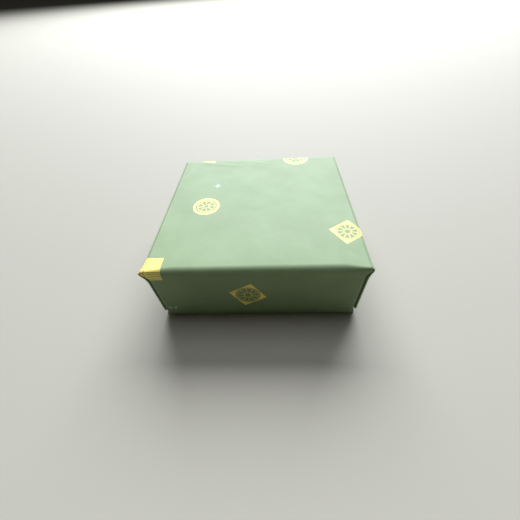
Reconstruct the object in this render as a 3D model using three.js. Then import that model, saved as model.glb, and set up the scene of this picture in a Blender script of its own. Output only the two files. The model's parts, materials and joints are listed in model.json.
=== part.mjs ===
// A square presentation box of rosin: a paper wrap round a carton with a hinged lid, and inside it
// a cake of rosin in a cup that a ribbon lifts out of a laminated card insert.
// Millimetres, +Z up. The origin is the middle of the underside, +X is the right end and -Y is the front.
import * as THREE from "three";

// Driving dimensions: the contents set the size of the carton, and the carton sets the size of the wrap.
const cakeDiameter = 52;
const cakeThickness = 15.5;
const cakeEdgeRadius = 2.2;
const cakeProud = 1.8; // how far the cake stands above the cup's rim
const cupWall = 1.2;
const cupBase = 1.5;
const cupFootChamfer = 1.0;
const ribbonThickness = 0.3;
const ribbonWidth = 10;
const ribbonTailMargin = 2.4; // from the tail's end to the edge of the insert
const recessDepth = 14; // thickness of the insert's ring
const insertBaseThickness = 5.2;
const insertSideMargin = 11.8; // card left of and right of the recess
const insertFrontMargin = 12.05; // card in front of and behind the recess
const headroom = 1.4; // over the cake, under the lid's liner
const linerThickness = 2;
const boardThickness = 1.8;
const stayThickness = 0.3;
const stayLeg = 8;
const hingeStripHeight = 9;
const paperThickness = 0.35;
const tapeThickness = 0.15;
const tapeWidth = 12;
const topFlapLift = 3; // the end flaps' lower edge above the table
const closingFlapLift = 9; // the back flap's lower edge above the table
const bottomFlapDrop = 14; // the bottom flaps' upper edge below the top
const tuckTipHeight = 5; // the short edge of a tuck, at its inner end
const earLength = 0.6; // how far an end flap's top corners stand out past its sides
const earHeight = 10;
const flapCornerCut = 2.5;

// Clearances
const layerGap = 0.3; // between pieces that lie on each other
const cupClearance = 0.6; // round the cup, in its recess
const linerSwing = 1.2; // from the liner to the walls, for it to swing clear
const stripEndGap = 2; // from the hinge strip's ends to the corner stays

// Plan of the contents
const cakeRadius = cakeDiameter / 2;
const cupRadius = cakeRadius + layerGap + cupWall;
const recessRadius = cupRadius + cupClearance;
const ribbonLegOuter = cupRadius + layerGap + ribbonThickness;
const notchReach = ribbonLegOuter + layerGap;
const notchHalfWidth = ribbonWidth / 2 + layerGap;
const insertHalfWidth = recessRadius + insertSideMargin;
const insertHalfDepth = recessRadius + insertFrontMargin;
const insertClearance = layerGap + stayThickness + layerGap;
const innerHalfWidth = insertHalfWidth + insertClearance;
const innerHalfDepth = insertHalfDepth + insertClearance;
const cartonHalfWidth = innerHalfWidth + boardThickness;
const cartonHalfDepth = innerHalfDepth + boardThickness;

// Layers of the wrap, counted outwards from the carton
const layerStep = layerGap + paperThickness;
const tapeStep = layerGap + tapeThickness;
const frontStack = layerStep;
const backStack = 2 * layerStep + tapeStep;
const endStack = 3 * layerStep + tapeStep;

// Planes across the depth, with the whole box centred on the origin
const cartonMiddleY = (frontStack - backStack) / 2;
const cartonFront = cartonMiddleY - cartonHalfDepth;
const cartonBack = cartonMiddleY + cartonHalfDepth;
const wrapFront = cartonFront - frontStack;
const backPanelOuter = cartonBack + layerStep;
const closingFlapOuter = cartonBack + backStack;
const closingFlapInner = closingFlapOuter - paperThickness;

// Planes across the width, on the right; the left ones mirror them
const tuckOuter = cartonHalfWidth + layerStep;
const bottomFlapOuter = cartonHalfWidth + 2 * layerStep;
const topFlapOuter = cartonHalfWidth + endStack;
const topFlapInner = topFlapOuter - paperThickness;

// Heights, from the table up
const floorUnderside = layerStep;
const floorTop = floorUnderside + boardThickness;
const insertUnderside = floorTop + layerGap;
const insertBaseTop = insertUnderside + insertBaseThickness;
const ringUnderside = insertBaseTop + layerGap;
const insertTop = ringUnderside + recessDepth;
const ribbonUnderside = insertBaseTop + layerGap;
const cupUnderside = ribbonUnderside + ribbonThickness + layerGap;
const cakeUnderside = cupUnderside + cupBase + layerGap;
const cakeTop = cakeUnderside + cakeThickness;
const cupRim = cakeTop - cakeProud;
const linerUnderside = cakeTop + headroom;
const linerTop = linerUnderside + linerThickness;
const lidUnderside = linerTop + layerGap;
const lidTop = lidUnderside + boardThickness;
const wallTop = lidUnderside - layerGap;
const wrapTop = lidTop + layerStep;
const capUnderside = wrapTop - paperThickness;
const panelFoot = layerStep;
const panelTop = capUnderside - layerGap;

const roundSegments = 96;
const filletSegments = 6;

const X = new THREE.Vector3(1, 0, 0);
const Y = new THREE.Vector3(0, 1, 0);
const Z = new THREE.Vector3(0, 0, 1);

// Materials
function surface(color, roughness, metalness) {
  return new THREE.MeshStandardMaterial({ color, roughness, metalness });
}

function sagePaper() {
  return surface(0x9caf86, 0.62, 0);
}

function greyBoard() {
  return surface(0x4b4a44, 0.85, 0);
}

function creamCard() {
  return surface(0xe6dfca, 0.8, 0);
}

function stayPaper() {
  return surface(0x8f6f4a, 0.8, 0);
}

function clearTape() {
  return surface(0xe9e6d8, 0.3, 0);
}

function goldRibbon() {
  return surface(0xb98f3a, 0.5, 0);
}

function spunAluminium() {
  return surface(0xc9c9c6, 0.3, 1);
}

function amberRosin() {
  return surface(0xa2480c, 0.12, 0);
}

// Shapes
function named(name, geometry, material) {
  const mesh = new THREE.Mesh(geometry, material);
  mesh.name = name;
  return mesh;
}

// A block between two planes on each axis.
function block(name, material, [x0, x1], [y0, y1], [z0, z1]) {
  const mesh = named(name, new THREE.BoxGeometry(x1 - x0, y1 - y0, z1 - z0), material);
  mesh.position.set((x0 + x1) / 2, (y0 + y1) / 2, (z0 + z1) / 2);
  return mesh;
}

function extruded(shape, depth) {
  return new THREE.ExtrudeGeometry(shape, { depth, bevelEnabled: false });
}

// A sheet across an end of the box: its outline is in Y and Z, and it fills from its outer face inwards.
function endSheet(name, material, side, outer, outline) {
  const points = outline.map(([y, z]) => new THREE.Vector2(y, z));
  const mesh = named(name, extruded(new THREE.Shape(points), paperThickness), material);
  mesh.quaternion.setFromRotationMatrix(new THREE.Matrix4().makeBasis(Y, Z, X));
  mesh.position.x = side > 0 ? outer - paperThickness : -outer;
  return mesh;
}

// A profile of radius and height, turned about Z.
function turned(name, material, profile, height) {
  const points = profile.map(([radius, z]) => new THREE.Vector2(radius, z));
  const mesh = named(name, new THREE.LatheGeometry(points, roundSegments), material);
  mesh.rotation.x = Math.PI / 2;
  mesh.position.set(0, cartonMiddleY, height);
  return mesh;
}

// The wrap: one sheet of paper, as the panels between its folds.
function wrapPanels() {
  const capHalfWidth = topFlapInner - layerGap;
  const bottomWidth = [-tuckOuter, tuckOuter];
  const panelWidth = [-cartonHalfWidth, cartonHalfWidth];
  const capWidth = [-capHalfWidth, capHalfWidth];
  const bottomDepth = [wrapFront, backPanelOuter];
  const frontSheet = [wrapFront, wrapFront + paperThickness];
  const backSheet = [backPanelOuter - paperThickness, backPanelOuter];
  const topDepth = [wrapFront, closingFlapInner - layerGap];
  const closingSheet = [closingFlapInner, closingFlapOuter];
  const panelHeight = [panelFoot, panelTop];
  const group = new THREE.Group();
  group.add(
    block("wrap_bottom_panel", sagePaper(), bottomWidth, bottomDepth, [0, paperThickness]),
    block("wrap_front_panel", sagePaper(), panelWidth, frontSheet, panelHeight),
    block("wrap_back_panel", sagePaper(), panelWidth, backSheet, panelHeight),
    block("wrap_top_panel", sagePaper(), capWidth, topDepth, [capUnderside, wrapTop]),
    block("wrap_closing_flap", sagePaper(), capWidth, closingSheet, [closingFlapLift, wrapTop]),
  );
  return group;
}

// The top flap of an end: the outermost layer, with a small ear at each top corner.
function topFlapOutline() {
  const front = wrapFront;
  const back = closingFlapInner - layerGap;
  const kink = wrapTop - earHeight;
  return [
    [front, wrapTop],
    [front + earLength, kink],
    [front + earLength, topFlapLift + flapCornerCut],
    [front + earLength + flapCornerCut, topFlapLift],
    [back - earLength - flapCornerCut, topFlapLift],
    [back - earLength, topFlapLift + flapCornerCut],
    [back - earLength, kink],
    [back, wrapTop],
  ];
}

// How far a tuck reaches in from its vertical edge, between its two 45 degree gusset folds.
function tuckLength() {
  return (panelTop - panelFoot - tuckTipHeight) / 2;
}

// The bottom flap of an end. Each of its sides slopes in by the reach of the tuck behind it.
function bottomFlapOutline() {
  const upperEdge = wrapTop - bottomFlapDrop;
  const narrowing = tuckLength();
  return [
    [wrapFront, 0],
    [backPanelOuter, 0],
    [backPanelOuter - narrowing, upperEdge],
    [wrapFront + narrowing, upperEdge],
  ];
}

// A tuck of an end, folded inwards from a vertical edge of the box.
function tuckOutline(edge, inwards) {
  const length = tuckLength();
  return [
    [edge, panelFoot],
    [edge + inwards * length, panelFoot + length],
    [edge + inwards * length, panelTop - length],
    [edge, panelTop],
  ];
}

// The layers of one end: two tucks, the bottom flap, a strip of double-sided tape, and the top flap.
function wrapEnd(endName, side) {
  const tapeInner = bottomFlapOuter + layerGap;
  const tapeOuter = tapeInner + tapeThickness;
  const tapeFaces = side > 0 ? [tapeInner, tapeOuter] : [-tapeOuter, -tapeInner];
  const tapeFoot = topFlapLift + flapCornerCut;
  const group = new THREE.Group();
  group.add(
    endSheet(`${endName}_top_flap`, sagePaper(), side, topFlapOuter, topFlapOutline()),
    endSheet(`${endName}_bottom_flap`, sagePaper(), side, bottomFlapOuter, bottomFlapOutline()),
    endSheet(`${endName}_front_tuck`, sagePaper(), side, tuckOuter, tuckOutline(wrapFront, 1)),
    endSheet(`${endName}_back_tuck`, sagePaper(), side, tuckOuter, tuckOutline(backPanelOuter, -1)),
    block(
      `${endName}_end_tape`,
      clearTape(),
      tapeFaces,
      [cartonMiddleY - recessRadius, cartonMiddleY + recessRadius],
      [tapeFoot, tapeFoot + tapeWidth],
    ),
  );
  return group;
}

// Double-sided tape that holds the closing flap down on the back panel.
function backTape() {
  const foot = closingFlapLift + flapCornerCut;
  return block(
    "back_tape",
    clearTape(),
    [-recessRadius, recessRadius],
    [backPanelOuter + layerGap, backPanelOuter + tapeStep],
    [foot, foot + tapeWidth],
  );
}

// The carton: a floor, four walls and a lid of board, with paper stays inside its corners.
function cartonBoards() {
  const fullWidth = [-cartonHalfWidth, cartonHalfWidth];
  const fullDepth = [cartonFront, cartonBack];
  const frontWall = [cartonFront, cartonFront + boardThickness];
  const backWall = [cartonBack - boardThickness, cartonBack];
  const rightWall = [innerHalfWidth, cartonHalfWidth];
  const leftWall = [-cartonHalfWidth, -innerHalfWidth];
  const sideDepth = [frontWall[1] + layerGap, backWall[0] - layerGap];
  const wallHeight = [floorTop + layerGap, wallTop];
  const group = new THREE.Group();
  group.add(
    block("carton_floor_board", greyBoard(), fullWidth, fullDepth, [floorUnderside, floorTop]),
    block("carton_front_board", greyBoard(), fullWidth, frontWall, wallHeight),
    block("carton_back_board", greyBoard(), fullWidth, backWall, wallHeight),
    block("carton_right_board", greyBoard(), rightWall, sideDepth, wallHeight),
    block("carton_left_board", greyBoard(), leftWall, sideDepth, wallHeight),
    block("carton_lid_board", greyBoard(), fullWidth, fullDepth, [lidUnderside, lidTop]),
  );
  return group;
}

// The card liner under the lid, which drops inside the walls and keeps the lid square.
function lidLiner() {
  const halfWidth = innerHalfWidth - linerSwing;
  const halfDepth = innerHalfDepth - linerSwing;
  return block(
    "carton_lid_liner",
    creamCard(),
    [-halfWidth, halfWidth],
    [cartonMiddleY - halfDepth, cartonMiddleY + halfDepth],
    [linerUnderside, linerTop],
  );
}

// The strip inside the front wall that the lid hinges on.
function lidHingeStrip() {
  const halfLength = insertHalfWidth - stayLeg - stripEndGap;
  const face = cartonFront + boardThickness + layerGap;
  return block(
    "lid_hinge_strip",
    stayPaper(),
    [-halfLength, halfLength],
    [face, face + stayThickness],
    [wallTop - hingeStripHeight, wallTop],
  );
}

// An L of paper glued inside one corner of the walls. sideX and sideY say which corner.
function cornerStay(name, sideX, sideY) {
  const outline = [
    [0, 0],
    [-stayLeg, 0],
    [-stayLeg, -stayThickness],
    [-stayThickness, -stayThickness],
    [-stayThickness, -stayLeg],
    [0, -stayLeg],
  ].map(([x, y]) => new THREE.Vector2(sideX * x, sideY * y));
  if (sideX * sideY < 0) {
    outline.reverse();
  }
  const foot = floorTop + layerGap;
  const mesh = named(name, extruded(new THREE.Shape(outline), wallTop - foot), stayPaper());
  mesh.position.set(
    sideX * (innerHalfWidth - layerGap),
    cartonMiddleY + sideY * (innerHalfDepth - layerGap),
    foot,
  );
  return mesh;
}

function cornerStays() {
  const group = new THREE.Group();
  for (const [depthName, sideY] of [["front", -1], ["back", 1]]) {
    for (const [widthName, sideX] of [["left", -1], ["right", 1]]) {
      group.add(cornerStay(`${depthName}_${widthName}_corner_stay`, sideX, sideY));
    }
  }
  return group;
}

// The insert: a solid base, and a ring with the cup's recess and a notch each side for the ribbon.
function insertBase() {
  return block(
    "insert_base",
    creamCard(),
    [-insertHalfWidth, insertHalfWidth],
    [cartonMiddleY - insertHalfDepth, cartonMiddleY + insertHalfDepth],
    [insertUnderside, insertBaseTop],
  );
}

function insertRing() {
  const shape = new THREE.Shape([
    new THREE.Vector2(-insertHalfWidth, -insertHalfDepth),
    new THREE.Vector2(insertHalfWidth, -insertHalfDepth),
    new THREE.Vector2(insertHalfWidth, insertHalfDepth),
    new THREE.Vector2(-insertHalfWidth, insertHalfDepth),
  ]);
  const notchAngle = Math.asin(notchHalfWidth / recessRadius);
  const recess = new THREE.Path();
  recess.absarc(0, 0, recessRadius, notchAngle, Math.PI - notchAngle, false);
  recess.lineTo(-notchReach, notchHalfWidth);
  recess.lineTo(-notchReach, -notchHalfWidth);
  recess.absarc(0, 0, recessRadius, Math.PI + notchAngle, 2 * Math.PI - notchAngle, false);
  recess.lineTo(notchReach, -notchHalfWidth);
  recess.lineTo(notchReach, notchHalfWidth);
  shape.holes.push(recess);
  const geometry = new THREE.ExtrudeGeometry(shape, {
    depth: recessDepth,
    bevelEnabled: false,
    curveSegments: roundSegments / 2,
  });
  const mesh = named("insert_ring", geometry, creamCard());
  mesh.position.set(0, cartonMiddleY, ringUnderside);
  return mesh;
}

// The ribbon: under the cup, up both sides of it, and out over the insert.
function liftRibbon() {
  const under = ribbonUnderside;
  const over = insertTop + layerGap;
  const legInner = ribbonLegOuter - ribbonThickness;
  const tail = insertHalfWidth - ribbonTailMargin;
  const rightHalf = [
    [ribbonLegOuter, under],
    [ribbonLegOuter, over],
    [tail, over],
    [tail, over + ribbonThickness],
    [legInner, over + ribbonThickness],
    [legInner, under + ribbonThickness],
  ];
  const leftHalf = rightHalf.map(([x, z]) => [-x, z]).reverse();
  const points = [...rightHalf, ...leftHalf].map(([x, z]) => new THREE.Vector2(x, z));
  const mesh = named("lift_ribbon", extruded(new THREE.Shape(points), ribbonWidth), goldRibbon());
  mesh.rotation.x = Math.PI / 2;
  mesh.position.y = cartonMiddleY + ribbonWidth / 2;
  return mesh;
}

function rosinCup() {
  const height = cupRim - cupUnderside;
  const inner = cupRadius - cupWall;
  const lip = cupWall / 4;
  return turned(
    "rosin_cup",
    spunAluminium(),
    [
      [0, 0],
      [cupRadius - cupFootChamfer, 0],
      [cupRadius, cupFootChamfer],
      [cupRadius, height - lip],
      [cupRadius - lip, height],
      [inner + lip, height],
      [inner, height - lip],
      [inner, cupBase],
      [0, cupBase],
    ],
    cupUnderside,
  );
}

function rosinCake() {
  const profile = [
    [0, 0],
    [cakeRadius - cakeEdgeRadius / 2, 0],
    [cakeRadius, cakeEdgeRadius / 2],
  ];
  for (let i = 0; i <= filletSegments; i += 1) {
    const angle = (i / filletSegments) * (Math.PI / 2);
    profile.push([
      cakeRadius - cakeEdgeRadius + cakeEdgeRadius * Math.cos(angle),
      cakeThickness - cakeEdgeRadius + cakeEdgeRadius * Math.sin(angle),
    ]);
  }
  profile.push([0, cakeThickness]);
  return turned("rosin_cake", amberRosin(), profile, cakeUnderside);
}

const group = new THREE.Group();
group.add(
  wrapPanels(),
  wrapEnd("right", 1),
  wrapEnd("left", -1),
  backTape(),
  cartonBoards(),
  lidLiner(),
  lidHingeStrip(),
  cornerStays(),
  insertBase(),
  insertRing(),
  liftRibbon(),
  rosinCup(),
  rosinCake(),
);

export default group;
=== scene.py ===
# A gift-wrapped box of rosin: the paper wrap, the carton's boards, the card insert, the ribbon, the cup
# and the cake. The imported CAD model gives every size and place. Lengths are in metres unless a comment
# says millimetres.
import json
import math
from functools import cache

import bpy
from mathutils import Matrix, Vector, noise


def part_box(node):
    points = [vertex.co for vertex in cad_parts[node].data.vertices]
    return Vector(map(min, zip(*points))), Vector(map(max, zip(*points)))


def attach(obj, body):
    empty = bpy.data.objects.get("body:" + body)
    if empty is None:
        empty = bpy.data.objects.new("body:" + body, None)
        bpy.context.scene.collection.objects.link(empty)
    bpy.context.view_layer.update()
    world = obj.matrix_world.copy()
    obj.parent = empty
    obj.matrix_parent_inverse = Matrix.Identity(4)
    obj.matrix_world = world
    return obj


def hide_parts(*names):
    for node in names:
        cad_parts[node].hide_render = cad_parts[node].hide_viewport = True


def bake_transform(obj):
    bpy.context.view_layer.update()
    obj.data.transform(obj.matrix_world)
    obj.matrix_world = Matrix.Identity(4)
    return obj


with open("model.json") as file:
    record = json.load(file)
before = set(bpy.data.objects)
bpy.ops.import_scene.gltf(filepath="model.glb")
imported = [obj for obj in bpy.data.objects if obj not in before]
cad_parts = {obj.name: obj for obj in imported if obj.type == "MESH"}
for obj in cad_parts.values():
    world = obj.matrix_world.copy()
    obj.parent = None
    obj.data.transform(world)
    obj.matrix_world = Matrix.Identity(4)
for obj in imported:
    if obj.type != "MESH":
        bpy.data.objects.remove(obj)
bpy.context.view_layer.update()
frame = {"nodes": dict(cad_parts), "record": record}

MM = 0.001
X, Y, Z = Vector((1, 0, 0)), Vector((0, 1, 0)), Vector((0, 0, 1))

# Planes of the wrap, from the CAD's panels.
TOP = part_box("wrap_top_panel")[1].z
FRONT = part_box("wrap_front_panel")[0].y
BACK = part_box("wrap_back_panel")[1].y
FLAP_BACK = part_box("wrap_closing_flap")[1].y
FLAP_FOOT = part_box("wrap_closing_flap")[0].z
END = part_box("right_top_flap")[1].x
END_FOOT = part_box("right_top_flap")[0].z
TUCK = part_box("right_front_tuck")[1].x
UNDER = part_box("right_bottom_flap")[1].x
UNDER_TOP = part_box("right_bottom_flap")[1].z
TUCK_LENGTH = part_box("right_front_tuck")[1].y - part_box("right_front_tuck")[0].y
DEPTH = FLAP_BACK - FRONT

# The paper.
SHEET_THICKNESS = 0.22 * MM
FRONT_FOLD = 3.4 * MM  # the soft fold between the front and the top, at the middle
CORNER_FOLD = 1.1 * MM  # the same fold at the corners
FRONT_SAG = 0.15 * MM  # how far the paper sinks towards that fold
SIDE_FOLD = 0.6 * MM  # the creased folds
EAR_DROP = 1.2 * MM  # how far down the front corners keep the top's full width
EAR_FOOT = 4.6 * MM  # where the ears end
EAR_FLARE = {-1: 1.1 * MM, 1: 0.3 * MM}  # how far the left and the right front corner bulge out


# ---------------------------------------------------------------- shapes

def smooth(t):
    t = max(0.0, min(1.0, t))
    return t * t * (3 - 2 * t)


def mix(a, b, t):
    return a + (b - a) * t


def spread(low, high, step):
    """Evenly spaced values from low to high, no further apart than step."""
    count = max(1, math.ceil(abs(high - low) / step))
    return [mix(low, high, i / count) for i in range(count + 1)]


def joined(*runs):
    """Runs of values end to end, without the repeated ones between them."""
    values = []
    for run in runs:
        values += [v for v in run if not values or abs(v - values[-1]) > 1e-7]
    return values


def folded(edge, into, away, s, radius):
    """A sheet that comes along `into` to a fold at `edge` and leaves along `away`: the point and the
    outward normal at the distance s past the fold."""
    if s <= -radius:
        return edge + into * s, -away
    if s >= radius:
        return edge + away * s, into
    angle = (s / radius + 1) * math.pi / 4
    normal = into * math.sin(angle) - away * math.cos(angle)
    return edge + (away - into) * radius + normal * radius, normal


def add_object(name, vertices, faces):
    mesh = bpy.data.meshes.new(name)
    mesh.from_pydata([tuple(v) for v in vertices], [], faces)
    mesh.update()
    for polygon in mesh.polygons:
        polygon.use_smooth = True
    obj = bpy.data.objects.new(name, mesh)
    bpy.context.scene.collection.objects.link(obj)
    return obj


def thicken(obj, thickness, offset=-1):
    """Gives a sheet its thickness: inwards with offset -1, or to both sides with 0."""
    thick = obj.modifiers.new("thickness", "SOLIDIFY")
    thick.thickness = thickness
    thick.offset = offset
    return thick


def crisp_edges(obj, degrees):
    """Shades the faces apart where they meet at more than an angle."""
    obj.modifiers.new("edges", "EDGE_SPLIT").split_angle = math.radians(degrees)


def grid_faces(rows, cols, points=None, normals=None):
    """The faces of a grid, turned so that they face along the normals where those are given."""
    faces, facing = [], 0.0
    for i in range(rows - 1):
        for j in range(cols - 1):
            a, b = i * cols + j, i * cols + j + 1
            c, d = b + cols, a + cols
            faces.append((a, b, c, d))
            if normals:
                facing += (points[c] - points[a]).cross(points[d] - points[b]).dot(normals[a])
    return [face[::-1] for face in faces] if facing < 0 else faces


# Creases in the paper, in sheet millimetres: both ends, the width, and the height of the ridge.
CREASES = (
    (-40, 87, -6, 79, 0.9, 0.22),
    (-30, 88, -12, 83, 0.8, -0.16),
    (-14, 88, 8, 80.5, 0.9, 0.16),
    (-25, 85, -31, 72, 0.9, 0.12),
    (-8, 83, 10, 76, 0.9, 0.12),
    (-34, 83, -38, 70, 1.0, 0.12),
    (-44, 6, -36, 15, 1.8, 0.12),
    (44, 3, 37, 12, 1.6, -0.12),
    (43, -4, 34, -14, 1.5, 0.14),
    (40, -2, 38, -24, 1.3, 0.10),
    (-42, -6, -35, -22, 1.6, 0.12),
    (-20, -3, 14, -5, 2.2, 0.08),
    (52, 70, 68, 58, 1.6, 0.16),
    (50, 12, 66, 24, 1.6, 0.14),
    (-52, 72, -66, 60, 1.6, 0.14),
    (-50, 14, -68, 22, 1.8, 0.16),
    (-20, 92, 0, 104, 1.8, 0.14),
    (20, 95, 34, 108, 1.6, -0.12),
)


def relief(x, s):
    """How far the paper stands out from flat at a place on the sheet, both in sheet millimetres."""
    swell = noise.noise(Vector((x / 26, s / 26, 3.7))) * 0.16
    swell += noise.noise(Vector((x / 9, s / 9, 8.1))) * 0.045
    for x0, s0, x1, s1, width, height in CREASES:
        dx, ds = x1 - x0, s1 - s0
        along = ((x - x0) * dx + (s - s0) * ds) / (dx * dx + ds * ds)
        if not -0.1 < along < 1.1:
            continue
        across = ((x - x0) * ds - (s - s0) * dx) / math.hypot(dx, ds)
        taper = smooth(along * 3) * smooth((1 - along) * 3)
        swell += height * taper * math.exp(-abs(across) / width)
    return swell * MM


def paper(name, rows, cols, place):
    """A piece of the sheet as a grid. place(row, col) gives the point, its outward normal, the place on the
    sheet in millimetres, how freely the paper may stand out, and how worn its fold is (2 on a cut edge)."""
    points, normals, sheet, wear = [], [], [], []
    for r in rows:
        for c in cols:
            point, normal, (x, s), freedom, fold = place(r, c)
            points.append(point + normal * (relief(x, s) * freedom))
            normals.append(normal)
            sheet.append((x, s, 0))
            wear.append(fold)
    obj = add_object(name, points, grid_faces(len(rows), len(cols), points, normals))
    mesh = obj.data
    where = mesh.attributes.new("sheet", "FLOAT_VECTOR", "POINT")
    where.data.foreach_set("vector", [value for spot in sheet for value in spot])
    mesh.attributes.new("wear", "FLOAT", "POINT").data.foreach_set("value", wear)
    thick = thicken(obj, SHEET_THICKNESS)
    thick.material_offset = 1
    thick.material_offset_rim = 0
    xs, ss = [p[0] for p in sheet], [p[1] for p in sheet]
    mesh.materials.append(printed_paper(name + " print", (min(xs), max(xs)), (min(ss), max(ss))))
    mesh.materials.append(plain_paper())
    return obj


def near_fold(distance, reach=0.9 * MM):
    """1 on a fold, falling to 0 a little way from it."""
    return max(0.0, 1 - abs(distance) / reach)


def on_cut(distance):
    """2 on a cut edge, where the white core shows, and 0 away from it."""
    return 2.0 if abs(distance) < 1e-6 else 0.0


# ---------------------------------------------------------------- the wrap

def half_width(s):
    """Half the width of the sheet between its side folds: the top's full width down to the ears, and then
    the front's."""
    top_half, front_half = END - SIDE_FOLD, TUCK - SIDE_FOLD
    return mix(front_half, top_half, smooth((s + EAR_FOOT) / (EAR_FOOT - EAR_DROP)))


def flare(side, back, down):
    """How far a front corner bulges out to its side, from the distances back and down from the corner."""
    reach = 2.8 * MM
    return EAR_FLARE[side] * math.exp(-((back / reach) ** 2) - ((down - 1.2 * MM) / reach) ** 2)


def front_fold(x, s, half):
    """The sheet's course over the front fold, tight at the corners and soft between them, with a slight sag
    on both sides of it."""
    side = half - abs(x)
    radius = mix(CORNER_FOLD, FRONT_FOLD, smooth(side / (11 * MM)))
    point, normal = folded(Vector((x, FRONT, TOP)), Z, Y, s, radius)
    beyond = max(0.0, abs(s) - radius)
    point -= normal * (FRONT_SAG * math.exp(-beyond / (3 * MM)) * smooth(side / (5 * MM)))
    return point, normal


def front_and_top():
    """The front panel, the soft fold and the top panel, in one run of the sheet. s is 0 at the fold."""
    rows = joined(
        spread(-TOP + SIDE_FOLD, -EAR_FOOT, 1.2 * MM),
        spread(-EAR_FOOT, FRONT_FOLD, 0.3 * MM),
        spread(FRONT_FOLD, DEPTH - SIDE_FOLD, 0.7 * MM),
    )
    cols = spread(-1, 1, 0.016)

    def place(s, u):
        x = u * half_width(s)
        side = half_width(s) - abs(x)
        point, normal = front_fold(x, s, half_width(s))
        hand = 1 if u > 0 else -1
        point.x += hand * flare(hand, max(0.0, s), max(0.0, -s)) * math.exp(-((side / (3 * MM)) ** 2))
        free = smooth(side / (4 * MM)) * smooth((DEPTH - s) / (4 * MM)) * smooth((s + TOP) / (4 * MM))
        fold = max(0.3 * near_fold(s, FRONT_FOLD), near_fold(side), near_fold(DEPTH - SIDE_FOLD - s))
        return point, normal, (x / MM, s / MM), free, fold

    obj = paper("wrap_front_and_top", rows, cols, place)
    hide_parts("wrap_front_panel", "wrap_top_panel")
    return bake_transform(obj)


def back_half(z):
    """Half the back panel's width at a height: the pleats spread at its foot."""
    return mix(UNDER - 0.45 * MM, TUCK, smooth(z / (7 * MM)))


def bottom_and_back():
    """The fold under the front, the bottom panel, and the inner back panel."""
    depth = BACK - FRONT
    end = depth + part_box("wrap_back_panel")[1].z
    rows = joined(
        spread(-SIDE_FOLD, SIDE_FOLD, 0.2 * MM),
        spread(SIDE_FOLD, depth - SIDE_FOLD, 2.5 * MM),
        spread(depth - SIDE_FOLD, depth + SIDE_FOLD, 0.2 * MM),
        spread(depth + SIDE_FOLD, end - 0.12 * MM, 2.0 * MM),
        [end],
    )
    cols = spread(-1, 1, 0.03)
    start = -TOP

    def place(s, u):
        if s < depth / 2:
            half = mix(TUCK, UNDER, smooth(s / (3 * MM))) - SIDE_FOLD
            point, normal = folded(Vector((u * half, FRONT, 0)), -Z, Y, s, SIDE_FOLD)
        else:
            half = back_half(s - depth) - SIDE_FOLD
            half = mix(UNDER - SIDE_FOLD, half, smooth((s - depth + 3 * MM) / (3 * MM)))
            point, normal = folded(Vector((u * half, BACK, 0)), Y, Z, s - depth, SIDE_FOLD)
        fold = max(near_fold(s), near_fold(s - depth), on_cut(end - s))
        free = smooth((s - depth) / (5 * MM)) * smooth((1 - abs(u)) * 12)
        return point, normal, (u * half / MM, (start - s) / MM), free, fold

    obj = paper("wrap_bottom_and_back", rows, cols, place)
    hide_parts("wrap_bottom_panel", "wrap_back_panel")
    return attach(obj, "box")


def closing_flap():
    """The flap from the top's back fold down the back, with its cut edge turned under as a hem."""
    length = TOP - FLAP_FOOT
    hem, turn = 7 * MM, 0.22 * MM
    half = END - SIDE_FOLD
    rows = joined(
        spread(-SIDE_FOLD, SIDE_FOLD, 0.15 * MM),
        spread(SIDE_FOLD, length - turn, 1.2 * MM),
        spread(length - turn, length + turn, 0.11 * MM),
        spread(length + turn, length + hem, 1.2 * MM),
    )
    cols = spread(-1, 1, 0.02)

    def place(s, u):
        x = u * (half + 0.3 * MM - 0.3 * MM * smooth(s / length))
        if s < length - turn:
            point, normal = folded(Vector((x, FLAP_BACK, TOP)), Y, -Z, s, SIDE_FOLD)
        else:
            angle = min(1.0, (s - length + turn) / (2 * turn)) * math.pi
            up = max(0.0, s - length - turn)
            normal = Vector((0, math.cos(angle), -math.sin(angle)))
            point = Vector((x, FLAP_BACK - turn, FLAP_FOOT + turn + up)) + normal * turn
        side = half - abs(x)
        free = smooth(side / (3 * MM)) * smooth(s / (4 * MM)) * smooth((length - s) / (4 * MM))
        fold = max(near_fold(s), near_fold(s - length))
        return point, normal, (x / MM, (DEPTH + s) / MM), free, fold

    obj = paper("wrap_closing_flap_paper", rows, cols, place)
    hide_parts("wrap_closing_flap")
    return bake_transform(obj)


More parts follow.
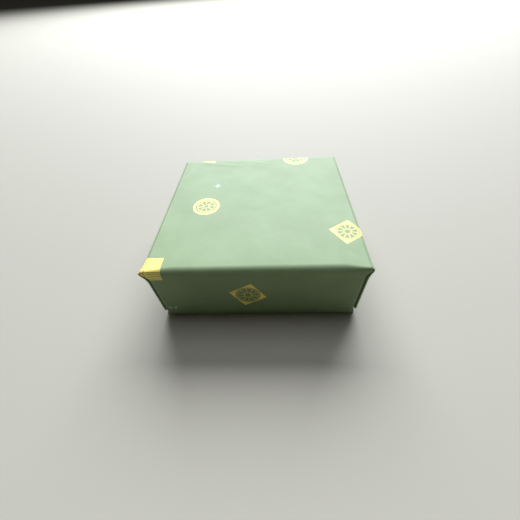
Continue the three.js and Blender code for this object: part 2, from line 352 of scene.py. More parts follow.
def top_flap(side, name):
    """An end's outermost flap. Its front and back edges are gussets: the sheet turns under and runs back
    inside at 45 degrees from each top corner, so the edge is a soft double fold that narrows to an ear."""
    length = TOP - END_FOOT
    gusset, turn = 13 * MM, 0.48 * MM
    front, back = FRONT, FLAP_BACK - SIDE_FOLD
    rows = joined(
        spread(-SIDE_FOLD, SIDE_FOLD, 0.15 * MM),
        spread(SIDE_FOLD, EAR_FOOT, 0.5 * MM),
        spread(EAR_FOOT, length - 0.12 * MM, 1.1 * MM),
        [length],
    )
    inside = spread(0, 1, 0.25)[1:]
    turning = spread(0, 1, 0.1)[1:]
    cols = [("back", v) for v in reversed(inside)]
    cols += [("back turn", v) for v in reversed(turning)]
    cols += [("flat", v) for v in spread(0, 1, 0.0125)]
    cols += [("front turn", v) for v in turning]
    cols += [("front", v) for v in inside]

    def inset(d, at_back):
        """How far the flap's edge stands in from the corner: the ear, the kink and the straight run."""
        return mix(-0.25 * MM, (0.2 if at_back else 0.75) * MM, smooth(d / (9 * MM)))

    def place(d, col):
        part, v = col
        radius = turn * mix(0.3, 1, smooth((d - 0.5 * MM) / (4 * MM)))
        depth = max(0.4 * MM, min(gusset, d + 0.4 * MM))
        y0, y1 = back - inset(d, True), front + inset(d, False)
        point, normal = folded(Vector((side * END, 0, TOP)), X * side, -Z, d, SIDE_FOLD)
        inwards, facing, free = 0, normal, 0.0
        edge, out = (y0, 1) if part.startswith("back") else (y1, -1)
        if part == "flat":
            y = mix(y0 - radius, y1 + radius, v)
            sheet_y = y
            free = smooth(d / (4 * MM)) * smooth(min(y0 - y, y - y1) / (4 * MM))
        elif part.endswith("turn"):
            angle = v * math.pi
            y = edge - out * radius + out * radius * math.sin(angle)
            inwards = radius * (1 - math.cos(angle))
            facing = normal * math.cos(angle) + Y * (out * math.sin(angle))
            sheet_y = edge + out * radius * v
        else:
            y = edge - out * (radius + v * depth)
            inwards = 2 * radius
            facing = -normal
            sheet_y = edge + out * (radius + v * depth)
        bulge = side * flare(side, max(0.0, y - FRONT), max(0.0, d))
        spot = Vector((point.x + bulge, y, point.z)) - normal * inwards
        fold = max(near_fold(d), 0.7 if part.endswith("turn") else 0.0, on_cut(length - d))
        on_sheet = (side * (END + d) / MM, (sheet_y - FRONT) / MM)
        return spot, facing, on_sheet, free, fold

    obj = paper(name + "_top_flap_paper", rows, cols, place)
    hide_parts(name + "_top_flap")
    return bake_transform(obj)


def under_flap(side, name):
    """An end's bottom flap, folded up from the bottom panel between its gussets."""
    length = UNDER_TOP
    rows = joined(
        spread(-SIDE_FOLD, SIDE_FOLD, 0.2 * MM),
        spread(SIDE_FOLD, length - 0.12 * MM, 1.5 * MM),
        [length],
    )
    cols = spread(0, 1, 0.025)

    def place(d, v):
        cut = max(0.0, d) * TUCK_LENGTH / length
        y = mix(FRONT + cut, BACK - cut, v)
        point, normal = folded(Vector((side * UNDER, y, 0)), X * side, Z, d, SIDE_FOLD)
        free = smooth(d / (6 * MM)) * 0.5 * smooth(min(v, 1 - v) * 10)
        on_sheet = (side * (UNDER + d) / MM, (-TOP - (y - FRONT)) / MM)
        return point, normal, on_sheet, free, max(near_fold(d), on_cut(length - d))

    obj = paper(name + "_bottom_flap_paper", rows, cols, place)
    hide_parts(name + "_bottom_flap")
    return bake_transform(obj)


def tuck(side, name, end, edge, inwards):
    """A tuck of an end, folded in from the upright edge at Y = edge. inwards is the way it runs along Y."""
    foot, head = 0.3 * MM, TOP - (1.3 * MM if inwards > 0 else EAR_FOOT)
    rows = spread(0, 1, 0.04)
    cols = joined(
        spread(-SIDE_FOLD, SIDE_FOLD, 0.15 * MM),
        spread(SIDE_FOLD, TUCK_LENGTH - 0.12 * MM, 1.2 * MM),
        [TUCK_LENGTH],
    )

    def place(v, d):
        cut = max(0.0, d) * (head - foot - 5 * MM) / 2 / TUCK_LENGTH
        z = mix(foot + cut, head - cut, v)
        corner = half_width(z - TOP) + SIDE_FOLD if inwards > 0 else back_half(z)
        corner = mix(corner, TUCK, smooth(d / (6 * MM)))
        point, normal = folded(Vector((side * corner, edge, z)), X * side, Y * inwards, d, SIDE_FOLD)
        along = z - TOP if inwards > 0 else -TOP - (BACK - FRONT) - z
        on_sheet = (side * (TUCK + d) / MM, along / MM)
        return point, normal, on_sheet, 0.0, max(near_fold(d), on_cut(TUCK_LENGTH - d))

    obj = paper(f"{name}_{end}_tuck_paper", rows, cols, place)
    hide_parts(f"{name}_{end}_tuck")
    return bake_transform(obj)


# ---------------------------------------------------------------- the hinge strip, the lid and the contents

LID_ROUND = 3.5 * MM  # the lid's front edge, rounded where the paper presses on it
LID_SETBACK = 1.0 * MM  # how far that edge stands back, to clear the fold as the top opens


def lid_board():
    """The lid's board, with its front edge rounded."""
    low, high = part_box("carton_lid_board")
    chamfer, end_bevel = 0.35 * MM, 0.3 * MM
    front = low.y + LID_SETBACK
    outline = [(front + 0.7 * MM, low.z), (high.y - chamfer, low.z)]
    outline += [(high.y, low.z + chamfer), (high.y, high.z - chamfer), (high.y - chamfer, high.z)]
    for i in range(11):
        angle = mix(math.pi / 2, math.asin((low.z - high.z + LID_ROUND) / LID_ROUND), i / 10)
        across, up = LID_ROUND * math.cos(angle), LID_ROUND * math.sin(angle)
        outline.append((front + LID_ROUND - across, high.z - LID_ROUND + up))
    xs = [low.x, low.x + end_bevel]
    xs += spread(low.x + 4 * MM, high.x - 4 * MM, 8 * MM)
    xs += [high.x - end_bevel, high.x]
    middle = (low + high) / 2
    points, faces = [], []
    for x in xs:
        shrink = end_bevel if x in (xs[0], xs[-1]) else 0.0
        for y, z in outline:
            inset_y = shrink if y < middle.y else -shrink
            inset_z = shrink if z < middle.z else -shrink
            points.append((x, y + inset_y, z + inset_z))
    count = len(outline)
    for i in range(len(xs) - 1):
        for j in range(count):
            a, b = i * count + j, i * count + (j + 1) % count
            faces.append((a, a + count, b + count, b))
    faces.append(tuple(range(count)))
    faces.append(tuple(reversed(range(len(points) - count, len(points)))))
    obj = add_object("carton_lid_board_lined", points, faces)
    crisp_edges(obj, 40)
    obj.data.materials.append(board_material())
    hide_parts("carton_lid_board")
    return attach(obj, "carton_lid")


def hinge_strip():
    """The kraft strip pasted inside the wrap's front fold."""
    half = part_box("carton_front_board")[1].x - 2 * MM
    down, over = 9 * MM, 7 * MM
    depth = SHEET_THICKNESS + 0.06 * MM
    rows = joined(
        spread(-down, -FRONT_FOLD, 1.2 * MM),
        spread(-FRONT_FOLD, FRONT_FOLD, 0.25 * MM),
        spread(FRONT_FOLD, over, 1.2 * MM),
    )
    cols = spread(-half, half, 1.5 * MM)
    points, normals = [], []
    for s in rows:
        uneven = 0.4 * MM if s in (rows[0], rows[-1]) else 0
        for x in cols:
            point, normal = front_fold(x, s, half_width(s))
            ragged = noise.noise(Vector((x * 180, s * 60, 0))) * uneven
            points.append(point - normal * depth + (Z if s < 0 else Y) * ragged)
            normals.append(normal)
    obj = add_object("front_hinge_strip", points, grid_faces(len(rows), len(cols), points, normals))
    thicken(obj, 0.1 * MM)
    obj.data.materials.append(kraft_material())
    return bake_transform(obj)


def turned(name, profile, steps=128):
    """A closed profile of radius and height turned about the cup's axis."""
    centre_y = (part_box("rosin_cup")[0].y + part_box("rosin_cup")[1].y) / 2
    points, faces = [], []
    for i in range(steps):
        angle = 2 * math.pi * i / steps
        for radius, height in profile:
            points.append((radius * math.cos(angle), centre_y + radius * math.sin(angle), height))
    count = len(profile)
    for i in range(steps):
        a, b = i * count, (i + 1) % steps * count
        for j in range(count - 1):
            faces.append((a + j, b + j, b + j + 1, a + j + 1))
    faces.append(tuple(reversed([i * count for i in range(steps)])))
    faces.append(tuple(i * count + count - 1 for i in range(steps)))
    return add_object(name, points, faces)


def arc(centre, radius, start, end, steps):
    """Points round an arc in a profile, with its angles in degrees."""
    result = []
    for i in range(steps + 1):
        angle = math.radians(mix(start, end, i / steps))
        result.append((centre[0] + radius * math.cos(angle), centre[1] + radius * math.sin(angle)))
    return result


def cup():
    """The spun cup: a dished base, a foot, straight walls with two rolled grooves, and a beaded rim."""
    low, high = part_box("rosin_cup")
    outer, foot, rim = high.x, low.z, high.z
    wall, base, bead = 1.0 * MM, 1.5 * MM, 0.6 * MM
    skin = outer - 0.12 * MM
    profile = [(0.4 * MM, foot + 0.5 * MM), (skin - 5 * MM, foot + 0.5 * MM)]
    profile += [(skin - 4.4 * MM, foot + 0.15 * MM), (skin - 3.8 * MM, foot)]
    profile += arc((skin - 1.4 * MM, foot + 1.4 * MM), 1.4 * MM, -90, 0, 8)
    for height in (4.2 * MM, 11.2 * MM):
        profile.append((skin, foot + height - 0.55 * MM))
        profile += [(skin - 0.14 * MM, foot + height - 0.25 * MM), (skin - 0.2 * MM, foot + height)]
        profile += [(skin - 0.14 * MM, foot + height + 0.25 * MM), (skin, foot + height + 0.55 * MM)]
    profile.append((skin, rim - 2 * bead - 0.15 * MM))
    profile += arc((outer - bead, rim - bead), bead, -60, 180, 14)
    profile += [(outer - 2 * bead, rim - 2 * bead), (skin - wall, rim - 2.4 * bead)]
    profile += arc((skin - wall - 1 * MM, foot + base + 1 * MM), 1 * MM, 0, -90, 6)
    profile.append((0.4 * MM, foot + base))
    obj = turned("rosin_cup_spun", profile)
    obj.data.materials.append(aluminium_material())
    crisp_edges(obj, 50)
    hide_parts("rosin_cup")
    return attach(obj, "rosin")


def cake():
    """The cast cake: flat below, a soft shoulder standing over the cup, and a top that sinks a little where
    the melt shrank as it cooled."""
    low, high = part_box("rosin_cake")
    radius, foot, top = high.x, low.z, high.z
    shoulder = 1.7 * MM
    inside = radius - 0.05 * MM
    profile = [(0.3 * MM, foot), (inside - 0.8 * MM, foot)]
    profile += arc((inside - 0.8 * MM, foot + 0.8 * MM), 0.8 * MM, -90, 0, 5)[1:]
    profile += arc((inside - shoulder, top - shoulder), shoulder, 0, 90, 12)
    reach = inside - shoulder
    for i in range(1, 25):
        r = mix(reach, 0.3 * MM, i / 24)
        sink = 0.55 * MM * smooth((reach - r) / (0.9 * reach))
        ripple = 0.012 * MM * math.sin(r / MM * 1.15) * smooth((reach - r) / (4 * MM))
        profile.append((r, top - sink + ripple))
    obj = turned("rosin_cake_cast", profile, 144)
    obj.data.materials.append(rosin_material())
    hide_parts("rosin_cake")
    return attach(obj, "rosin")


def ribbon():
    """The lifting ribbon: under the cup, up through the notches, and out over the card, with V-cut tails."""
    low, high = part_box("lift_ribbon")
    card_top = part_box("insert_ring")[1].z
    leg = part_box("rosin_cup")[1].x + 0.45 * MM
    under = low.z + 0.15 * MM
    over = card_top + 0.45 * MM
    tail = high.x
    centre_y = (low.y + high.y) / 2
    half_wide = (high.y - low.y) / 2
    bend = 0.75 * MM
    right = [(x, under) for x in spread(0, leg - bend, 1.1 * MM)[1:]]
    right += arc((leg - bend, under + bend), bend, -90, 0, 6)[1:]
    right += [(leg, z) for z in spread(under + bend, over - bend, 1.0 * MM)[1:]]
    right += arc((leg + bend, over - bend), bend, 180, 90, 6)[1:]
    right += [(x, over) for x in spread(leg + bend, tail, 0.5 * MM)[1:]]
    cols = spread(-1, 1, 0.1)
    whole = [(-x, z, -1) for x, z in reversed(right)]
    whole += [(0.0, under, 1)]
    whole += [(x, z, 1) for x, z in right]
    points, sheet = [], []
    run = 0.0
    previous = whole[0]
    length = tail - leg - bend
    for x, z, side in whole:
        run += math.hypot(x - previous[0], z - previous[1])
        previous = (x, z)
        out = max(0.0, abs(x) - leg - bend)
        lift = 0.55 * MM * smooth(out / length)
        lift += 0.28 * MM * math.sin(out / length * 5 + side) * smooth(out / MM)
        for v in cols:
            cut = 3.0 * MM * (1 - abs(v)) * smooth(out / length)
            curl = 0.18 * MM * v * v * smooth(out / (2 * MM))
            twist = 0.15 * MM * v * side * smooth(out / length)
            points.append((x - side * cut, centre_y + v * half_wide, z + lift + curl + twist))
            sheet.append((v * half_wide / MM, run / MM, 0))
    obj = add_object("lift_ribbon_woven", points, grid_faces(len(whole), len(cols)))
    where = obj.data.attributes.new("sheet", "FLOAT_VECTOR", "POINT")
    where.data.foreach_set("vector", [value for spot in sheet for value in spot])
    thicken(obj, 0.26 * MM, 0)
    obj.data.materials.append(ribbon_material())
    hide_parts("lift_ribbon")
    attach(obj, "ribbon_lift")
    return obj


# ---------------------------------------------------------------- materials

class Graph:
    """A material's nodes, with a short call for each kind that is used here."""

    def __init__(self, name):
        self.material = bpy.data.materials.new(name)
        self.material.use_nodes = True
        self.nodes = self.material.node_tree.nodes
        self.links = self.material.node_tree.links
        self.shader = self.nodes["Principled BSDF"]

    def put(self, socket, value):
        if isinstance(value, bpy.types.NodeSocket):
            self.links.new(value, socket)
        else:
            socket.default_value = value

    def node(self, kind, inputs=(), **settings):
        node = self.nodes.new(kind)
        for key, value in settings.items():
            setattr(node, key, value)
        for key, value in dict(inputs).items():
            self.put(node.inputs[key], value)
        return node

    def math(self, operation, a, b=0.0, clamp=False):
        node = self.node("ShaderNodeMath", {0: a, 1: b}, operation=operation, use_clamp=clamp)
        return node.outputs[0]

    def add(self, a, b):
        return self.math("ADD", a, b)

    def minus(self, a, b):
        return self.math("SUBTRACT", a, b)

    def times(self, a, b):
        return self.math("MULTIPLY", a, b)

    def either(self, *masks):
        """The most of several masks."""
        result = masks[0]
        for mask in masks[1:]:
            result = self.math("MAXIMUM", result, mask)
        return result

    def inside(self, distance, softness=0.1):
        """1 where a signed distance is negative, 0 where it is positive."""
        return self.math("SUBTRACT", 0.5, self.times(distance, 1 / softness), clamp=True)

    def noise(self, vector, scale, detail=3.0, roughness=0.55):
        inputs = {"Vector": vector, "Scale": scale, "Detail": detail, "Roughness": roughness}
        return self.node("ShaderNodeTexNoise", inputs).outputs["Fac"]

    def stretched(self, vector, scale):
        return self.node("ShaderNodeMapping", {"Vector": vector, "Scale": scale}).outputs[0]

    def ramp(self, value, low, high):
        """0 below low, 1 above high, and smooth between them."""
        inputs = {0: value, 1: low, 2: high}
        return self.node("ShaderNodeMapRange", inputs, interpolation_type="SMOOTHSTEP").outputs[0]

    def blend(self, amount, a, b):
        """A mix of two colours."""
        node = self.node("ShaderNodeMix", data_type="RGBA")
        for index, value in ((0, amount), (6, a), (7, b)):
            self.put(node.inputs[index], value)
        return node.outputs[2]

    def object_place(self, scale=1000.0):
        """The place in the object's own frame, in millimetres."""
        coordinates = self.node("ShaderNodeTexCoord").outputs["Object"]
        inputs = {0: coordinates, 3: scale}
        return self.node("ShaderNodeVectorMath", inputs, operation="SCALE").outputs[0]

    def split(self, vector):
        return self.node("ShaderNodeSeparateXYZ", {0: vector}).outputs

    def bump(self, height, distance, strength):
        inputs = {"Height": height, "Distance": distance, "Strength": strength}
        return self.node("ShaderNodeBump", inputs).outputs[0]

    def set(self, **values):
        """Sets or links the shader's own sockets."""
        for key, value in values.items():
            self.put(self.shader.inputs[key.replace("_", " ")], value)
        return self.material


# The print, in sheet millimetres: the kind of motif, its centre across and along the sheet, its size, and
# how many degrees it is turned.
MOTIFS = (
    ("seal", -25.4, 42.0, 6.5, 8),
    ("sparkle", -22.0, 60.0, 2.6, 0),
    ("medallion", 39.2, 21.0, 7.6, -12),
    ("medallion", -3.9, -16.2, 8.1, -13),
    ("seal", 21.7, 87.4, 7.2, 0),
    ("medallion", -31.3, 92.6, 8.2, 28),
    ("block", -42.1, 1.3, 6.3, 0),
    ("leaf", -39.6, -25.8, 2.2, 0),
    ("seal", 62.0, 62.0, 6.5, 20),
    ("sparkle", 66.0, 40.0, 2.6, 0),
    ("leaf", 57.0, 8.0, 2.2, 30),
    ("medallion", -61.0, 66.0, 7.6, 10),
    ("sparkle", -67.0, 38.0, 2.6, 0),
    ("seal", -60.0, 20.0, 6.5, -15),
    ("block", 2.0, 102.0, 4.6, 14),
    ("sparkle", 36.0, 103.0, 2.6, 0),
    ("seal", 28.0, -74.0, 6.5, 40),
    ("medallion", -18.0, -92.0, 7.6, -20),
)


def motif_mask(graph, kind, x, s, size):
    """A motif's mask, from the place on the sheet relative to its centre."""
    across, along = graph.math("ABSOLUTE", x), graph.math("ABSOLUTE", s)
    radius = graph.math("SQRT", graph.add(graph.times(x, x), graph.times(s, s)))
    angle = graph.math("ARCTAN2", s, x)

    def ring(middle, half):
        return graph.inside(graph.minus(graph.math("ABSOLUTE", graph.minus(radius, middle)), half))

    def spokes(count, low, high, half):
        wave = graph.math("ABSOLUTE", graph.math("SINE", graph.times(angle, count / 2)))
        line = graph.inside(graph.minus(graph.times(graph.times(wave, radius), 2 / count), half))
        within = graph.inside(graph.minus(radius, high))
        reach = graph.times(within, graph.inside(graph.minus(low, radius)))
        return graph.times(line, reach)

    if kind == "seal":
        return graph.either(
            ring(size * 0.91, size * 0.09),
            ring(size * 0.66, 0.14),
            spokes(8, size * 0.16, size * 0.6, 0.16),
        )
    if kind == "medallion":
        lozenge = graph.inside(graph.minus(graph.add(across, along), size))
        outside = graph.inside(graph.minus(size * 0.66, radius))
        return graph.either(
            graph.times(lozenge, outside),
            ring(size * 0.58, 0.1),
            ring(size * 0.2, 0.12),
            spokes(10, size * 0.2, size * 0.58, 0.12),
        )
    if kind == "sparkle":
        roots = graph.add(graph.math("SQRT", across), graph.math("SQRT", along))
        return graph.inside(graph.minus(graph.times(roots, roots), size), 0.5)
    if kind == "leaf":
        lean = graph.minus(graph.times(s, 0.7), graph.times(graph.minus(across, size * 0.55), 0.7))
        run = graph.add(graph.times(s, 0.7), graph.times(graph.minus(across, size * 0.55), 0.7))
        round_ = graph.add(graph.times(graph.times(lean, lean), 3.2), graph.times(run, run))
        return graph.inside(graph.minus(graph.math("SQRT", round_), size * 0.42), 0.3)
    square = graph.math("MAXIMUM", graph.minus(across, size * 0.72), graph.minus(along, size))
    stripes = graph.math("ABSOLUTE", graph.math("SINE", graph.times(s, 2.3)))
    bars = graph.math("ABSOLUTE", graph.math("SINE", graph.times(x, 2.6)))
    lower = graph.times(graph.inside(s), graph.inside(graph.add(x, size * 0.05)))
    lines = graph.add(graph.times(bars, lower), graph.times(stripes, graph.minus(1, lower)))
    return graph.times(graph.inside(square), graph.ramp(lines, 0.25, 0.5))


GOLD = (0.93, 0.74, 0.15, 1)
PALE_INK = (0.42, 0.60, 0.47, 1)
SAGE = (0.215, 0.30, 0.155, 1)
SAGE_DEEP = (0.185, 0.265, 0.13, 1)
PAPER_CORE = (0.50, 0.55, 0.42, 1)


def printed_paper(name, across, along):
    """The wrap's printed side, with the motifs that reach the piece between those limits of the sheet."""
    graph = Graph(name)
    sheet = graph.node("ShaderNodeAttribute", attribute_name="sheet").outputs["Vector"]
    wear = graph.node("ShaderNodeAttribute", attribute_name="wear").outputs["Fac"]
    x, s, _ = graph.split(sheet)
    foil, ink = None, None
    for kind, at_x, at_s, size, turn in MOTIFS:
        if not across[0] - size < at_x < across[1] + size:
            continue
        if not along[0] - size < at_s < along[1] + size:
            continue
        cos, sin = math.cos(math.radians(turn)), math.sin(math.radians(turn))
        dx, ds = graph.minus(x, at_x), graph.minus(s, at_s)
        across_motif = graph.add(graph.times(dx, cos), graph.times(ds, sin))
        along_motif = graph.minus(graph.times(ds, cos), graph.times(dx, sin))
        mask = motif_mask(graph, kind, across_motif, along_motif, size)
        if kind in ("sparkle", "leaf"):
            ink = mask if ink is None else graph.either(ink, mask)
        else:
            foil = mask if foil is None else graph.either(foil, mask)

    cloud = graph.noise(sheet, 0.055, 4.0)
    fibre = graph.noise(sheet, 1.7, 5.0, 0.7)
    tone = graph.ramp(graph.add(graph.times(cloud, 0.7), graph.times(fibre, 0.3)), 0.34, 0.66)
    colour = graph.blend(tone, SAGE_DEEP, SAGE)
    cut = graph.math("SUBTRACT", wear, 1.0, clamp=True)
    worn = graph.math("MINIMUM", wear, 1.0)
    rubbed = graph.times(worn, graph.ramp(graph.noise(sheet, 0.9, 4.0, 0.7), 0.5, 0.8))
    colour = graph.blend(graph.times(rubbed, 0.4), colour, PAPER_CORE)

    drift = graph.times(graph.noise(sheet, 0.3, 1.0), 1.1)
    other_drift = graph.times(graph.noise(sheet, 0.23, 1.0), 1.1)
    twill = graph.math("SINE", graph.times(graph.add(graph.add(x, s), drift), 5.6))
    cross = graph.math("SINE", graph.times(graph.add(graph.minus(x, s), other_drift), 5.6))
    emboss = graph.math("MAXIMUM", twill, cross)
    patchy = graph.ramp(graph.noise(sheet, 0.12, 2.0), 0.35, 0.6)
    height = graph.add(graph.times(graph.times(emboss, patchy), 0.7), graph.times(fibre, 0.8))
    rough = graph.add(0.6, graph.times(fibre, 0.16))
    if ink is not None:
        colour = graph.blend(ink, colour, PALE_INK)
    if foil is not None:
        worn_foil = graph.times(foil, graph.minus(1, graph.times(rubbed, 0.5)))
        colour = graph.blend(worn_foil, colour, GOLD)
        rough = graph.minus(rough, graph.times(worn_foil, 0.12))
        graph.set(Metallic=graph.times(worn_foil, 0.12))
        height = graph.add(height, graph.times(worn_foil, 0.5))
    colour = graph.blend(cut, colour, (0.40, 0.40, 0.35, 1))
    normal = graph.bump(height, 0.05 * MM, 0.7)
    return graph.set(Base_Color=colour, Roughness=rough, Normal=normal)


@cache
def plain_paper():
    """The unprinted inner side of the wrap."""
    graph = Graph("wrap inner side")
    place = graph.object_place()
    fibre = graph.noise(place, 1.1, 5.0, 0.7)
    speck = graph.ramp(graph.noise(place, 3.5, 2.0), 0.68, 0.74)
    colour = graph.blend(graph.ramp(fibre, 0.3, 0.7), (0.33, 0.33, 0.29, 1), (0.41, 0.405, 0.37, 1))
    colour = graph.blend(graph.times(speck, 0.3), colour, (0.20, 0.17, 0.12, 1))
    return graph.set(Base_Color=colour, Roughness=0.82, Normal=graph.bump(fibre, 0.04 * MM, 0.5))


@cache
def board_material():
    """Grey board lined with dark paper, a little rubbed."""
    graph = Graph("lined board")
    place = graph.object_place()
    fibre = graph.noise(place, 0.9, 6.0, 0.75)
    scuff = graph.ramp(graph.noise(place, 0.16, 5.0, 0.65), 0.52, 0.78)
    grain = graph.ramp(fibre, 0.3, 0.7)
    colour = graph.blend(grain, (0.016, 0.020, 0.014, 1), (0.030, 0.036, 0.025, 1))
    colour = graph.blend(graph.times(scuff, 0.35), colour, (0.085, 0.085, 0.07, 1))
    rough = graph.add(0.55, graph.times(fibre, 0.2))
    return graph.set(Base_Color=colour, Roughness=rough, Normal=graph.bump(fibre, 0.06 * MM, 0.6))


def card_material():
    """Cream card, laminated in layers that show on its cut edges."""
    graph = Graph("laminated card")
    place = graph.object_place()
    fibre = graph.noise(place, 1.3, 5.0, 0.7)
    layers = graph.math("SINE", graph.times(graph.split(place)[2], 2 * math.pi / 1.4))
    normal_z = graph.split(graph.node("ShaderNodeNewGeometry").outputs["Normal"])[2]
    edge = graph.minus(1, graph.ramp(graph.math("ABSOLUTE", normal_z), 0.3, 0.7))
    colour = graph.blend(graph.ramp(fibre, 0.3, 0.7), (0.30, 0.265, 0.19, 1), (0.38, 0.345, 0.26, 1))
    line = graph.times(edge, graph.ramp(layers, 0.55, 0.95))
    colour = graph.blend(graph.times(line, 0.6), colour, (0.16, 0.12, 0.07, 1))
    height = graph.add(graph.times(fibre, 0.5), graph.times(line, -0.6))
    return graph.set(Base_Color=colour, Roughness=0.8, Normal=graph.bump(height, 0.08 * MM, 0.7))


@cache
def kraft_material():
    """Brown kraft paper with long fibres."""
    graph = Graph("kraft paper")
    fibre = graph.noise(graph.stretched(graph.object_place(), (0.5, 0.5, 2.4)), 1.4, 6.0, 0.75)
    colour = graph.blend(graph.ramp(fibre, 0.3, 0.7), (0.12, 0.065, 0.028, 1), (0.22, 0.13, 0.06, 1))
    return graph.set(Base_Color=colour, Roughness=0.75, Normal=graph.bump(fibre, 0.05 * MM, 0.7))


def tape_material():
    """Clear double-sided film with small trapped bubbles."""
    graph = Graph("clear tape")
    place = graph.object_place()
    bubbles = graph.ramp(graph.noise(place, 1.8, 3.0), 0.58, 0.66)
    colour = graph.blend(bubbles, (0.80, 0.78, 0.70, 1), (0.92, 0.91, 0.86, 1))
    rough = graph.add(0.16, graph.times(bubbles, 0.3))
    normal = graph.bump(bubbles, 0.05 * MM, 0.6)
    return graph.set(Base_Color=colour, Roughness=rough, Normal=normal, Alpha=0.55)


def aluminium_material():
    """Spun aluminium: fine turning lines round the cup, a soft oxide bloom, and a few scratches."""
    graph = Graph("spun aluminium")
    place = graph.object_place()
    x, y, z = graph.split(place)
    radius = graph.math("SQRT", graph.add(graph.times(x, x), graph.times(y, y)))
    profile = {0: graph.times(radius, 6.0), 1: graph.times(z, 6.0)}
    turns = graph.noise(graph.node("ShaderNodeCombineXYZ", profile).outputs[0], 1.0, 3.0)
    bloom = graph.noise(place, 0.22, 4.0)
    streaks = graph.noise(graph.stretched(place, (0.3, 2.6, 1.2)), 1.6, 4.0, 0.8)
    scratch = graph.ramp(streaks, 0.66, 0.70)
    colour = graph.blend(bloom, (0.70, 0.71, 0.73, 1), (0.84, 0.85, 0.86, 1))
    rough = graph.add(0.24, graph.add(graph.times(turns, 0.14), graph.times(scratch, 0.2)))
    height = graph.add(turns, graph.times(scratch, -0.5))
    normal = graph.bump(height, 0.03 * MM, 0.7)
    return graph.set(Base_Color=colour, Metallic=1.0, Roughness=rough, Normal=normal)


def rosin_material():
    """Clear dark amber with slow swirls, a few small bubbles and a film of its own dust."""
    graph = Graph("amber rosin")
    place = graph.object_place()
    stir = graph.node("ShaderNodeTexNoise", {"Vector": place, "Scale": 0.07, "Detail": 2.0})
    inputs = {0: place, 1: stir.outputs["Color"]}
    bent = graph.node("ShaderNodeVectorMath", inputs, operation="ADD").outputs[0]
    swirl = graph.noise(bent, 0.045, 2.5, 0.45)
    cells = graph.node("ShaderNodeTexVoronoi", {"Vector": place, "Scale": 0.34}).outputs["Distance"]
    bubble = graph.minus(1, graph.ramp(cells, 0.05, 0.11))
    dust = graph.ramp(graph.noise(place, 0.5, 6.0, 0.75), 0.56, 0.82)
    colour = graph.blend(graph.ramp(swirl, 0.35, 0.65), (0.17, 0.035, 0.004, 1), (0.30, 0.080, 0.008, 1))
    colour = graph.blend(graph.times(bubble, 0.4), colour, (0.50, 0.22, 0.06, 1))
    colour = graph.blend(graph.times(dust, 0.08), colour, (0.50, 0.38, 0.24, 1))
    rough = graph.add(0.07, graph.add(graph.times(dust, 0.14), graph.times(swirl, 0.04)))
    height = graph.add(graph.times(swirl, 0.6), graph.times(bubble, -0.5))
    graph.set(Subsurface_Weight=0.35, Subsurface_Radius=(0.006, 0.0025, 0.0006), Subsurface_Scale=1.0)
    graph.set(Transmission_Weight=0.35, IOR=1.53, Coat_Weight=0.3, Coat_Roughness=0.05)
    return graph.set(Base_Color=colour, Roughness=rough, Normal=graph.bump(height, 0.12 * MM, 0.5))


def ribbon_material():
    """Gold grosgrain: a rib across the ribbon every 0.55 mm, painted shade between the ribs, and a smooth
    woven edge.
    """
    graph = Graph("gold grosgrain")
    sheet = graph.node("ShaderNodeAttribute", attribute_name="sheet").outputs["Vector"]
    across, along, _ = graph.split(sheet)
    rib = graph.math("ABSOLUTE", graph.math("SINE", graph.times(along, math.pi / 0.55)))
    thread = graph.math("SINE", graph.times(across, 2 * math.pi / 0.32))
    edge = graph.ramp(graph.math("ABSOLUTE", across), 4.35, 4.6)
    fibre = graph.noise(sheet, 2.6, 5.0, 0.7)
    weave = graph.times(rib, graph.minus(1, edge))
    weave = graph.add(weave, graph.times(graph.times(thread, 0.12), edge))
    # The colour runs from painted shade in the hollows between the ribs to the ribbon's own gold on their
    # crests.
    colour = graph.blend(graph.ramp(rib, 0.15, 0.85), (0.17, 0.10, 0.022, 1), (0.40, 0.27, 0.085, 1))
    colour = graph.blend(graph.times(edge, 0.5), colour, (0.34, 0.235, 0.075, 1))
    colour = graph.blend(graph.times(fibre, 0.25), colour, (0.26, 0.17, 0.05, 1))
    height = graph.add(weave, graph.times(fibre, 0.25))
    graph.set(Sheen_Weight=0.35, Sheen_Roughness=0.35, Anisotropic=0.3)
    return graph.set(Base_Color=colour, Roughness=0.42, Normal=graph.bump(height, 0.12 * MM, 0.8))


# ---------------------------------------------------------------- CAD nodes that keep their shape

def finish_cad_nodes():
    """Materials, and softened edges, for the CAD nodes that show as they are."""
    kinds = {
        "grey_board": (board_material(), 0.85 * MM),
        "cream_card": (card_material(), 0.2 * MM),
        "stay_paper": (kraft_material(), 0.06 * MM),
        "clear_tape": (tape_material(), 0.03 * MM),
    }
    slots = {part["node"]: part["material_slot"] for part in frame["record"]["subparts"]}
    for node, obj in frame["nodes"].items():
        if slots[node] not in kinds:
            continue
        material, edge = kinds[slots[node]]
        obj.data.materials.clear()
        obj.data.materials.append(material)
        bevel = obj.modifiers.new("softened edges", "BEVEL")
        bevel.width = edge
        bevel.segments = 4
        bevel.limit_method = "ANGLE"


# ---------------------------------------------------------------- stage

FLOOR_REACH = 12.0
DAYLIGHT = (0.965, 0.985, 1.10)


def stage():
    """A plain pale floor, and a dim even light from all round."""
    floor_mesh = bpy.data.meshes.new("floor")
    reach = FLOOR_REACH
    corners = [(-reach, -reach, 0), (reach, -reach, 0), (reach, reach, 0), (-reach, reach, 0)]
    floor_mesh.from_pydata(corners, [], [(0, 1, 2, 3)])
    floor = bpy.data.objects.new("floor", floor_mesh)
    bpy.context.scene.collection.objects.link(floor)
    graph = Graph("floor")
    floor_mesh.materials.append(graph.set(Base_Color=(0.33, 0.325, 0.262, 1), Roughness=0.8))

    world = bpy.data.worlds.new("studio")
    bpy.context.scene.world = world
    world.use_nodes = True
    background = world.node_tree.nodes["Background"]
    background.inputs["Color"].default_value = (1.0, 0.98, 0.90, 1)
    background.inputs["Strength"].default_value = 0.035


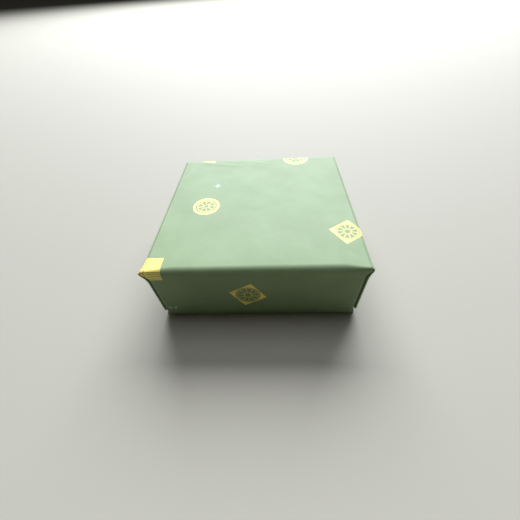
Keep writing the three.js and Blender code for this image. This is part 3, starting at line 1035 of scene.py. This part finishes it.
def area_light(name, place, aim, size, power, colour):
    data = bpy.data.lights.new(name, "AREA")
    data.shape = "RECTANGLE"
    data.size, data.size_y = size
    data.energy = power
    data.color = colour
    light = bpy.data.objects.new(name, data)
    light.location = place
    light.rotation_mode = "QUATERNION"
    light.rotation_quaternion = (Vector(aim) - Vector(place)).to_track_quat("-Z", "Y")
    bpy.context.scene.collection.objects.link(light)


def lights():
    """A wide window behind the box, a weak light above, and a faint warm one in front."""
    area_light("window", (0.15, 1.9, 1.5), (0, 0, 0), (2.4, 1.3), 175.0, DAYLIGHT)
    area_light("overhead", (0.0, 0.45, 1.7), (0, 0.05, 0), (1.3, 1.0), 12.0, DAYLIGHT)
    area_light("fill", (0.5, -1.6, 1.2), (0, 0, 0), (1.2, 1.0), 1.2, (1.0, 0.92, 0.62))


def camera():
    """A wide lens above the front of the box, a little to its right and slightly rolled."""
    azimuth, elevation, roll = math.radians(4.465), math.radians(48.05), math.radians(-4.43)
    forward = Vector(
        (
            -math.sin(azimuth) * math.cos(elevation),
            math.cos(azimuth) * math.cos(elevation),
            -math.sin(elevation),
        )
    )
    level = Vector((math.cos(azimuth), math.sin(azimuth), 0))
    upright = level.cross(forward)
    right = level * math.cos(roll) + upright * math.sin(roll)
    up = upright * math.cos(roll) - level * math.sin(roll)
    data = bpy.data.cameras.new("camera")
    data.lens = 17.87
    data.clip_start = 0.005
    obj = bpy.data.objects.new("camera", data)
    obj.matrix_world = Matrix((right, up, -forward)).transposed().to_4x4()
    obj.location = (0.0073, -0.10667, 0.10834)
    bpy.context.scene.collection.objects.link(obj)
    bpy.context.scene.camera = obj


def wrap():
    front_and_top()
    bottom_and_back()
    closing_flap()
    for side, name in ((1, "right"), (-1, "left")):
        top_flap(side, name)
        under_flap(side, name)
        tuck(side, name, "front", FRONT, 1)
        tuck(side, name, "back", BACK, -1)


bpy.context.scene.view_settings.view_transform = "Standard"
camera()
lights()
stage()
wrap()
lid_board()
hinge_strip()
cup()
cake()
ribbon()
finish_cad_nodes()
